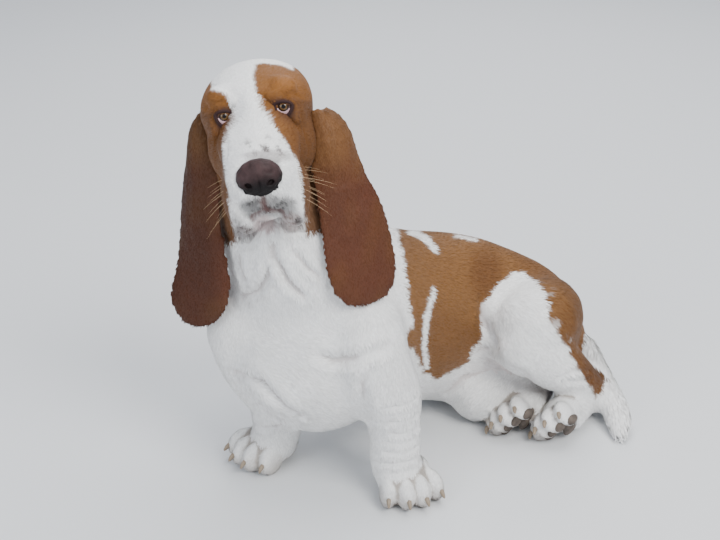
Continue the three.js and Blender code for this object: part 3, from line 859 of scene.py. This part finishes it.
# The way the hair lies on each part, in the dog's frame. The head's is worked out in its own frame.
LIE = {
    "torso": (-0.12, 0.8, -0.45),
    "neck": (-0.15, 0.25, -1.0),
    "foreleg_left": (0.1, 0.1, -1.0),
    "foreleg_right": (0.1, 0.1, -1.0),
    "hindleg_left": (0.1, 0.6, -0.7),
    "hindleg_right": (0.0, -0.6, -0.5),
    "forepaw_left": (1.0, -0.2, -0.5),
    "forepaw_right": (0.35, -0.9, -0.5),
    "hindpaw_left": (0.5, -0.8, -0.3),
    "hindpaw_right": (0.5, -0.8, -0.3),
    "tail": (0.75, -0.2, -0.4),
    "ear_left": (0.05, 0.05, -1.0),
    "ear_right": (0.0, -0.05, -1.0),
}

# How much one tuft differs from the next: its length, width and lift as shares, then its turn off the coat's
# lie in radians, its tone, and the direction of its shading.
LENGTH_RANGE = (0.7, 1.25)
WIDTH_RANGE = (0.75, 1.2)
LIFT_RANGE = (0.5, 1.3)
TURN_SPREAD = 0.16
TONE_SPREAD = 0.05
SHADING_SPREAD = 0.09

ROOT_DEPTH = 0.35  # a tuft starts this far under the skin, in mm
TUFT_FACES = [(0, 3, 1), (0, 2, 3), (2, 4, 3)]  # root left and right, middle left and right, tip
# Painted shade and light along each tuft, corner by corner: darker at its root, a little lighter at its tip.
TUFT_PAINTED_SHADE = [0.92, 0.92, 1.0, 1.0, 1.04]
TUFT_PATCH = [(-1, -1), (1, -1), (-1, 0.3), (1, 0.3), (0, 1)]
HALF_PATCH = 0.0015  # half of a tuft's patch on the unwrap


def lie_of_coat(points, normals, parts, edges):
    way = np.zeros_like(points)
    for name, direction in LIE.items():
        way[parts == name] = direction
    head = parts == "head"
    local = to_head(points)
    back = np.stack([np.sign(local[:, 0]) * 0.25, np.ones(len(points)), -0.35 * np.ones(len(points))], -1)
    muzzle = smoothstep(-10, -60, local[:, 1])
    back[:, 2] -= muzzle * smoothstep(-20, -60, local[:, 2]) * 0.9
    way[head] = (back @ HEAD[:3, :3].T)[head]
    for _ in range(10):
        way = spread(way, edges, len(points))
    way -= normals * np.sum(way * normals, axis=1)[:, None]
    return unit(way)


def unwrap(points, normals, parts, names):
    """A plain unwrap of the skin: each part's six sides are laid out side by side on one square sheet."""
    cells = int(math.ceil(math.sqrt(len(names) * 6)))
    sheet = np.zeros((len(points), 2))
    for k, name in enumerate(names):
        mine = parts == name
        if not mine.any():
            continue
        low, high = points[mine].min(0), points[mine].max(0)
        size = (high - low).max()
        for axis in range(3):
            for sign in (0, 1):
                strongest = np.abs(normals).argmax(axis=1) == axis
                chosen = mine & strongest & ((normals[:, axis] > 0) == bool(sign))
                others = [i for i in range(3) if i != axis]
                cell = k * 6 + axis * 2 + sign
                corner = np.array([cell % cells, cell // cells]) / cells
                spot = (points[chosen][:, others] - low[others]) / size
                sheet[chosen] = corner + (0.04 + 0.92 * spot) / cells
    return sheet


def tuft_mesh(name, corners, faces):
    """A mesh of triangles from the tufts' corners, quicker than one polygon at a time."""
    data = bpy.data.meshes.new(name)
    data.vertices.add(len(corners))
    data.vertices.foreach_set("co", to_row(corners).astype(np.float32).ravel())
    data.loops.add(len(faces) * 3)
    data.polygons.add(len(faces))
    data.polygons.foreach_set("loop_start", np.arange(len(faces), dtype=np.int32) * 3)
    data.loops.foreach_set("vertex_index", faces.astype(np.int32).ravel())
    made = bpy.data.objects.new(name, data)
    shade_smooth(made)
    data.update(calc_edges=True)
    bpy.context.scene.collection.objects.link(made)
    return made


def coat_piece(name, skin, way, colour, parts, chosen, material, end=0, bare=None):
    """Short hair over part of the skin: flat, tapered tufts that lie along it, each rooted just under it."""
    points, normals = points_of(skin), normals_of(skin)
    triangles = triangles_of(skin)
    triangles = triangles[np.isin(parts[triangles[:, 0]], chosen)]
    if bare is not None:
        triangles = triangles[~bare[triangles].any(axis=1)]
    if end:
        ahead = points[triangles[:, 0], 1] < TRUNK_SPLIT
        triangles = triangles[ahead if end > 0 else ~ahead]
    owner = parts[triangles[:, 0]]
    a, b, c = (points[triangles[:, k]] for k in range(3))
    area = np.linalg.norm(np.cross(b - a, c - a), axis=1) / 2
    length, width, lift, layers = (np.array([TUFTS[o][k] for o in owner]) for k in range(4))
    wanted = area * layers / (length * width)
    total = int(wanted.sum())
    pick = rng.choice(len(triangles), total, p=wanted / wanted.sum())
    rooted = triangles[pick]
    u, v = rng.random(total), rng.random(total)
    over = u + v > 1
    u[over], v[over] = 1 - u[over], 1 - v[over]
    share = np.stack([1 - u - v, u, v], -1)

    def at(field):
        return np.einsum("ij,ijk->ik", share, field[rooted])

    root, up, lie = at(points), unit(at(normals)), unit(at(way))
    length = length[pick] * rng.uniform(*LENGTH_RANGE, total)
    turn = rng.normal(0, TURN_SPREAD, total)
    lie = unit(lie * np.cos(turn)[:, None] + np.cross(up, lie) * np.sin(turn)[:, None])
    side = unit(np.cross(up, lie))
    lift = lift[pick] * rng.uniform(*LIFT_RANGE, total)
    half = (width[pick] * rng.uniform(*WIDTH_RANGE, total) / 2)[:, None]
    low = root - up * ROOT_DEPTH
    middle = root + lie * (length * 0.5)[:, None] + up * lift[:, None]
    tip = root + lie * length[:, None] + up * (lift * 0.75)[:, None]
    narrow, broad = side * half * 0.7, side * half
    corners = np.stack([low - narrow, low + narrow, middle - broad, middle + broad, tip], 1)
    corners[..., 2] = np.maximum(corners[..., 2], 0.1)
    starts = np.arange(total)[:, None, None] * len(TUFT_PAINTED_SHADE)
    faces = (starts + np.array(TUFT_FACES)).reshape(-1, 3)
    made = tuft_mesh(name, corners.reshape(-1, 3), faces)
    tone = at(colour) * rng.normal(1.0, TONE_SPREAD, total).clip(0.8, 1.15)[:, None]
    paint(made, np.clip(tone[:, None] * np.array(TUFT_PAINTED_SHADE)[:, None], 0, 1).reshape(-1, 3))

    # The patch sits at the root's first corner, so that no tuft falls between two sides of the unwrap.
    sheet = unwrap(points, normals, parts, sorted(TUFTS))[rooted[:, 0]]
    layout = (sheet[:, None] + np.array(TUFT_PATCH) * HALF_PATCH).reshape(-1, 2)
    uv = made.data.uv_layers.new(name="OFBake")
    uv.data.foreach_set("uv", layout[faces.ravel()].astype(np.float32).ravel())
    wobble = np.repeat(up + rng.normal(0, SHADING_SPREAD, (total, 3)), len(TUFT_PAINTED_SHADE), axis=0)
    made.data.normals_split_custom_set_from_vertices(unit(wobble).tolist())
    made.data.materials.append(material)
    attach(made, "root")


# Eyes, nose, claws, pads and whiskers

def sphere_grid(centre, pole, radius, polar, around):
    """Points on a sphere, from arrays of their angles from the pole and about it."""
    pole = unit(pole)
    across = unit(np.cross((0, 0, 1.0), pole))
    rise = np.cross(pole, across)
    flat = np.sin(polar)[..., None] * (np.cos(around)[..., None] * across + np.sin(around)[..., None] * rise)
    return centre + radius[..., None] * (np.cos(polar)[..., None] * pole + flat)


def round_grid(low, high, rows, columns):
    """Angles from a pole, from low to high, and about it, as two arrays of rings."""
    about = np.linspace(0, 2 * math.pi, columns, endpoint=False)
    return np.meshgrid(np.linspace(low, high, rows), about, indexing="ij")


def joined(shapes):
    """One set of points and faces from several."""
    points, faces, start = [], [], 0
    for more, polygons in shapes:
        points.append(more)
        faces += [tuple(i + start for i in polygon) for polygon in polygons]
        start += len(more)
    return np.concatenate(points), faces


def grid_faces(rows, columns, closed):
    faces = []
    for i in range(rows - 1):
        for j in range(columns if closed else columns - 1):
            k = (j + 1) % columns
            faces.append((i * columns + j, i * columns + k, (i + 1) * columns + k, (i + 1) * columns + j))
    return faces


# The eye's opening, in degrees from the gaze: to its corners, to the upper lid and to the sagging lower one.
OPENING = {"wide": 39, "up": 17, "down": 60}
LID_EDGE = 0.3  # the lids' edge stands this far off the eyeball, in mm
LID_ROLL = 1.9  # how far the lid bulges behind its edge, in mm
LID_BREADTH = 40  # degrees from a lid's edge out to where it has become the face
LID_FADE = (EYE_RADIUS + 18, EYE_RADIUS + 24)  # the skin is drawn back up to here, less and less between
CORNEA_BULGE = 0.8  # mm
CORNEA_REACH = 0.42  # radians from the gaze
BALL_INSET = 0.4  # how much smaller the eyeball is than EYE_RADIUS away from the cornea, in mm
HAW_SPAN = (196, 344)  # degrees about the gaze, from below one corner to below the other
HAW_EDGE = (28, 6)  # degrees from the gaze to the haw's upper edge: at its middle, and more at its ends


def eye_opening(around):
    """How far the lids' edges stand from the gaze, in radians, at an angle about it."""
    # Round above, and drawn down to a point below.
    c, s = np.abs(np.cos(around)), np.sin(around)
    power = np.where(s > 0, 2.2, 1.35)
    tall = np.where(s > 0, OPENING["up"], OPENING["down"])
    return np.radians(((c / OPENING["wide"]) ** power + (np.abs(s) / tall) ** power) ** (-1 / power))


def eye_place(side):
    """The eyeball's centre and the way that the eye looks."""
    centre = from_head((side * EYE_SPACING / 2, EYE_Y, EYE_UP))
    return centre, unit(np.array(CAMERA_PLACE) - centre)


def lid_grid(side, tree, rows=16, columns=72):
    """Points of the lids: rings from the opening's edge out over the eyeball to the face's own surface."""
    centre, gaze = eye_place(side)
    steps, around = round_grid(0, 1, rows, columns)
    polar = eye_opening(around) + math.radians(LID_BREADTH) * steps ** 1.25
    ways = sphere_grid(np.zeros(3), gaze, np.ones_like(polar), polar, around)
    face = np.full(polar.shape, EYE_RADIUS + 1.0)
    for i in range(rows):
        for j in range(columns):
            start = Vector(to_row(centre + ways[i, j] * (EYE_RADIUS + 4)))
            way = Vector(ways[i, j])
            hit, normal = tree.ray_cast(start, way, 0.02)[:2]
            if hit is None or normal.dot(way) < 0:
                hit = tree.ray_cast(start, -way, 0.004)[0]
            if hit:
                face[i, j] = max(np.linalg.norm(np.array(hit) / MM + ORIGIN - centre), EYE_RADIUS + 1.0)
    for _ in range(6):
        face = (face + np.roll(face, 1, 1) + np.roll(face, -1, 1)) / 3
    lid = EYE_RADIUS + 1.1 + LID_ROLL * np.sin(np.pi * np.minimum(steps * 1.7, 1)) ** 0.7
    lid[0] = EYE_RADIUS + LID_EDGE
    share = smoothstep(0.3, 0.95, steps)
    reach = lid * (1 - share) + (face + 0.25) * share
    return centre, gaze, steps, reach, centre + ways * reach[..., None]


def open_skin(points, grid):
    """Draws the skin that lies under the lids back, so that only the lids show round the eye."""
    centre, gaze, _, reach, _ = grid
    away = points - centre
    far = np.linalg.norm(away, axis=1)
    near = far < LID_FADE[1]
    across = unit(np.cross((0, 0, 1.0), gaze))
    rise = np.cross(gaze, across)
    way = away[near] / far[near][:, None]
    angle = np.arccos(np.clip(way @ gaze, -1, 1))
    around = np.arctan2(way @ rise, way @ across) % (2 * math.pi)
    opening = eye_opening(around)
    columns = reach.shape[1]
    column = np.round(around / (2 * math.pi) * columns).astype(int) % columns
    share = np.clip((angle - opening) / math.radians(LID_BREADTH), 0, 1) ** 0.8
    row = np.round(share * (reach.shape[0] - 1)).astype(int)
    limit = reach[row, column] - 1.4 * (1 - smoothstep(0.75, 1.0, share))
    inside = angle < opening + math.radians(LID_BREADTH)
    limit = np.where(angle < opening, EYE_RADIUS - 1.5, limit)
    limit = limit + (far[near] - limit) * smoothstep(*LID_FADE, far[near])
    far[near] = np.where(inside, np.minimum(far[near], limit), far[near])
    points[near] = centre + way * far[near][:, None]
    return points


def build_eye(side, grid, materials):
    name = "left" if side > 0 else "right"
    centre, gaze, steps, _, points = grid
    rows, columns = steps.shape
    flat = points.reshape(-1, 3)
    lids = mesh_object("lids_" + name, flat, grid_faces(rows, columns, True), materials["skin"])
    rim = (1 - smoothstep(0.25, 1.0, steps)).ravel() * 0.95
    parts = np.full(len(rim), "head")
    colour = blend(markings(flat, normals_of(lids), parts), RIM_BROWN, rim)
    paint(lids, colour)
    way = lie_of_coat(flat, normals_of(lids), parts, edges_of(lids))
    coat_piece("coat_lids_" + name, lids, way, colour, parts, ["head"], materials["hair"], bare=rim > 0.8)

    rows, columns = 56, 64
    polar, around = round_grid(0.004, math.pi * 0.62, rows, columns)
    radius = EYE_RADIUS + CORNEA_BULGE * np.exp(-(polar / CORNEA_REACH) ** 4) - BALL_INSET
    points = sphere_grid(centre, gaze, radius, polar, around).reshape(-1, 3)
    ball = mesh_object("eyeball_" + name, points, grid_faces(rows, columns, True), materials["eye"])
    angle = ball.data.attributes.new("gaze_angle", "FLOAT", "POINT")
    angle.data.foreach_set("value", (polar / math.pi * 2.0).ravel().astype(np.float32))
    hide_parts("eye_" + name)

    # The haw: the pale inner lid that shows between the iris and the sagging lower lid.
    rows, columns = 12, 34
    around = np.linspace(math.radians(HAW_SPAN[0]), math.radians(HAW_SPAN[1]), columns)
    inner = np.radians(HAW_EDGE[0] + HAW_EDGE[1] * np.abs(np.cos(around)) ** 2)
    outer = np.maximum(eye_opening(around) + 0.12, inner + 0.1)
    polar = inner[None] + (outer - inner)[None] * np.linspace(0, 1, rows)[:, None]
    bulge = EYE_RADIUS + 0.1 + 0.5 * np.sin(np.linspace(0, math.pi, rows))[:, None] + 0 * polar
    bulge[0] -= 0.7
    points = sphere_grid(centre, gaze, bulge, polar, around[None] + 0 * polar).reshape(-1, 3)
    haw = mesh_object("haw_" + name, points, grid_faces(rows, columns, False), materials["haw"])
    for piece in (ball, lids, haw):
        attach(piece, "root")


def finer_copy(name, source, material, voxel, folds=(), grow=0.3):
    """A solid's copy with its facets smoothed away, and folds given in the head's frame."""
    piece = swelled_copy(name, [source], grow)
    remeshed(piece, voxel)
    points, edges = points_of(piece), edges_of(piece)
    for _ in range(3):
        points += (spread(points, edges, len(points)) - points) * 0.5
    put_points(piece, points)
    for path, deep, wide in folds:
        points = crease(points, normals_of(piece), from_head(path), deep, wide, 0.3)
    put_points(piece, points)
    shade_smooth(piece)
    piece.data.materials.clear()
    piece.data.materials.append(material)
    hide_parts(source)
    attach(piece, "root")
    return piece


NOSE_GROW = 0.9  # the leather stands this far out of its solid, in mm
NOSE_DROP = 3.5  # and its lower edge this far below it

# Folds of the nose, in the head's frame: the groove down its middle, and each nostril's slit and upper rim.
NOSE_FOLDS = [([(0, -101, -36), (0, -103, -46), (0, -101, -60)], 1.8, 1.3)]
for side in SIDES:
    NOSE_FOLDS += [([(side * 9, -103, -47), (side * 15, -100, -51), (side * 21, -93, -50)], 3.2, 1.7)]
    NOSE_FOLDS += [([(side * 6, -101, -34), (side * 14, -99, -36), (side * 20, -92, -40)], 0.8, 2.5)]

# Hind feet: place, heading in degrees, length, width and height, then tilt about x and y. The toes' pads sit
# on the side of the sole, turned a little further to the light than the sole itself.
HIND_FEET = {
    "hindpaw_left": ((70, 304, 14), 210, (78, 62, 44), (12, 48)),
    "hindpaw_right": ((34, 260, 14), 212, (78, 62, 44), (12, 48)),
}
PAD_TURN = 30.0
PAD_THICK = 4.6  # half a pad's thickness, in mm
TOE_PAD = (7.6, 9.6)  # half its width and half its length
HEEL_PAD = (17.0, 14.0)


def build_pads(material):
    """Each hind foot's four toe pads and heel pad, flattened balls on its sole."""
    for name, (at, heading, (long, wide, tall), tilt) in HIND_FEET.items():
        turn = Matrix.Translation(at) @ Matrix.Rotation(math.radians(heading), 4, "Z")
        turn = turn @ Matrix.Rotation(math.radians(tilt[1]), 4, "Y")
        turn = turn @ Matrix.Rotation(math.radians(tilt[0]), 4, "X")
        turn = np.array(turn)
        sole = np.array(Matrix.Rotation(math.radians(PAD_TURN), 3, "Y"))
        spots = []
        for toe in (-1.5, -0.5, 0.5, 1.5):
            ahead = 0.34 if abs(toe) < 1 else 0.22
            spots.append(((toe * wide * 0.235, long * ahead, tall * 0.36), tall * 0.40 - 3.4, TOE_PAD))
        spots.append(((0, 0, tall * 0.42), tall * 0.44, HEEL_PAD))
        rows, columns = 12, 18
        polar, around = round_grid(0.02, math.pi - 0.02, rows, columns)
        ball = sphere_grid(np.zeros(3), (0, 0.01, 1), np.ones_like(polar), polar, around).reshape(-1, 3)
        faces = grid_faces(rows, columns, True)
        pads = []
        for (x, y, z), down, size in spots:
            centre = np.array([x, y + 4, z]) + sole @ np.array([0, 0, -down])
            points = (ball * (*size, PAD_THICK)) @ sole.T + centre
            pads.append((points @ turn[:3, :3].T + turn[:3, 3], faces))
        points, faces = joined(pads)
        points[:, 2] = np.maximum(points[:, 2], 0.2)
        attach(mesh_object("pads_" + name, points, faces, material), "root")


def tube(path, radii, sides=4):
    """A tapered tube along a path."""
    path = np.asarray(path, float)
    points = []
    for k, (p, r) in enumerate(zip(path, radii)):
        along = unit(path[min(k + 1, len(path) - 1)] - path[max(k - 1, 0)])
        a = unit(np.cross(along, (0.3, 0.2, 1.0)))
        b = np.cross(along, a)
        for j in range(sides):
            t = 2 * math.pi * j / sides
            points.append(p + (a * math.cos(t) + b * math.sin(t)) * r)
    return np.array(points), grid_faces(len(path), sides, True)


def build_whiskers(material):
    """Three rows of four whiskers on each side of the muzzle, which droop towards their ends."""
    whiskers = []
    for side in SIDES:
        for row in range(3):
            for k in range(4):
                start = np.array([side * (25 + 2 * row), -72 + 9 * k, -52 - 9 * row])
                reach = rng.uniform(34, 52)
                way = np.array([side * (0.9 + 0.1 * k), 0.1 + 0.22 * k, -0.15 - 0.22 * row])
                t = np.linspace(0, 1, 7)[:, None]
                path = start + unit(way) * reach * t + np.array([0, 4.0, -12.0]) * t ** 2
                whiskers.append(tube(from_head(path), 0.24 * (1 - 0.85 * t[:, 0])))
    piece = mesh_object("whiskers", *joined(whiskers), material)
    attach(piece, "root")


# Painted shade: the skin that shows between the tufts.
SKIN_SHADE = 0.92  # the skin between the tufts is this much darker than they are
HOLLOW_RINGS = 14  # rings of vertices that a fold's depth is measured over
COATS = {
    "coat_head": ["head"],
    "coat_neck_tail": ["neck", "tail"],
    "coat_legs": ["foreleg_left", "foreleg_right", "hindleg_left", "hindleg_right"],
    "coat_paws": ["forepaw_left", "forepaw_right", "hindpaw_left", "hindpaw_right"],
}


def dress(skin, names, part_of, colour_of, materials):
    """Paints a skin and gives the lie of its coat: what coat_piece needs of it."""
    parts = np.array(names)[part_of]
    points, normals, edges = points_of(skin), normals_of(skin), edges_of(skin)
    colour = colour_of(points, normals, edges, parts)
    way = lie_of_coat(points, normals, parts, edges)
    shade_smooth(skin)
    skin.data.materials.append(materials["skin"])
    paint(skin, colour * SKIN_SHADE)
    return skin, way, colour, parts


def body_colours(points, normals, edges, parts):
    level = points
    for _ in range(HOLLOW_RINGS):
        level = spread(level, edges, len(points))
    return markings(points, normals, parts, np.sum((level - points) * normals, axis=1))


def build_body(materials):
    """The skin of the flesh and its coat. Gives the grids of the lids, which grow out of that skin."""
    skin, part_of, lid_grids = build_skin()
    dressed = dress(skin, FLESH, part_of, body_colours, materials)
    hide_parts(*FLESH)
    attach(skin, "root")
    for name, end in (("coat_chest", 1), ("coat_back", -1)):
        coat_piece(name, *dressed, ["torso"], materials["hair"], end)
    for name, chosen in COATS.items():
        coat_piece(name, *dressed, chosen, materials["hair"])
    return lid_grids


def build_flaps(materials):
    ears, part_of = build_ears()
    dressed = dress(ears, EARS, part_of, lambda points, *_: ear_colours(points), materials)
    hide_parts(*EARS)
    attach(ears, "root")
    coat_piece("coat_ears", *dressed, EARS, materials["hair"])


def build_nose(material):
    nose = finer_copy("nose_leather", "nose", material, 0.8, NOSE_FOLDS, NOSE_GROW)
    local = to_head(points_of(nose))
    # Painted highlight: the nose's top is painted lighter than the near-black leather below it.
    high = smoothstep(-50, -34, local[:, 2] + noise(local, 9, 40) * 3)
    local[:, 2] -= smoothstep(-40, -62, local[:, 2]) * NOSE_DROP
    put_points(nose, from_head(local))
    paint(nose, blend(np.tile(linear(NOSE_LOW), (len(local), 1)), NOSE_TOP_HIGHLIGHT, high))


def build_claws(material):
    for foot in ("forepaw_left", "forepaw_right", "hindpaw_left", "hindpaw_right"):
        for k in range(1, 5):
            one = f"{foot}_claw_{k}"
            finer_copy("horn_" + one, one, material, 0.7)


def main():
    add_camera()
    add_studio()
    materials = build_materials()
    lid_grids = build_body(materials)
    build_flaps(materials)
    for side in SIDES:
        build_eye(side, lid_grids[side], materials)
    build_nose(materials["nose"])
    build_pads(materials["pad"])
    build_claws(materials["claw"])
    build_whiskers(materials["whisker"])


main()
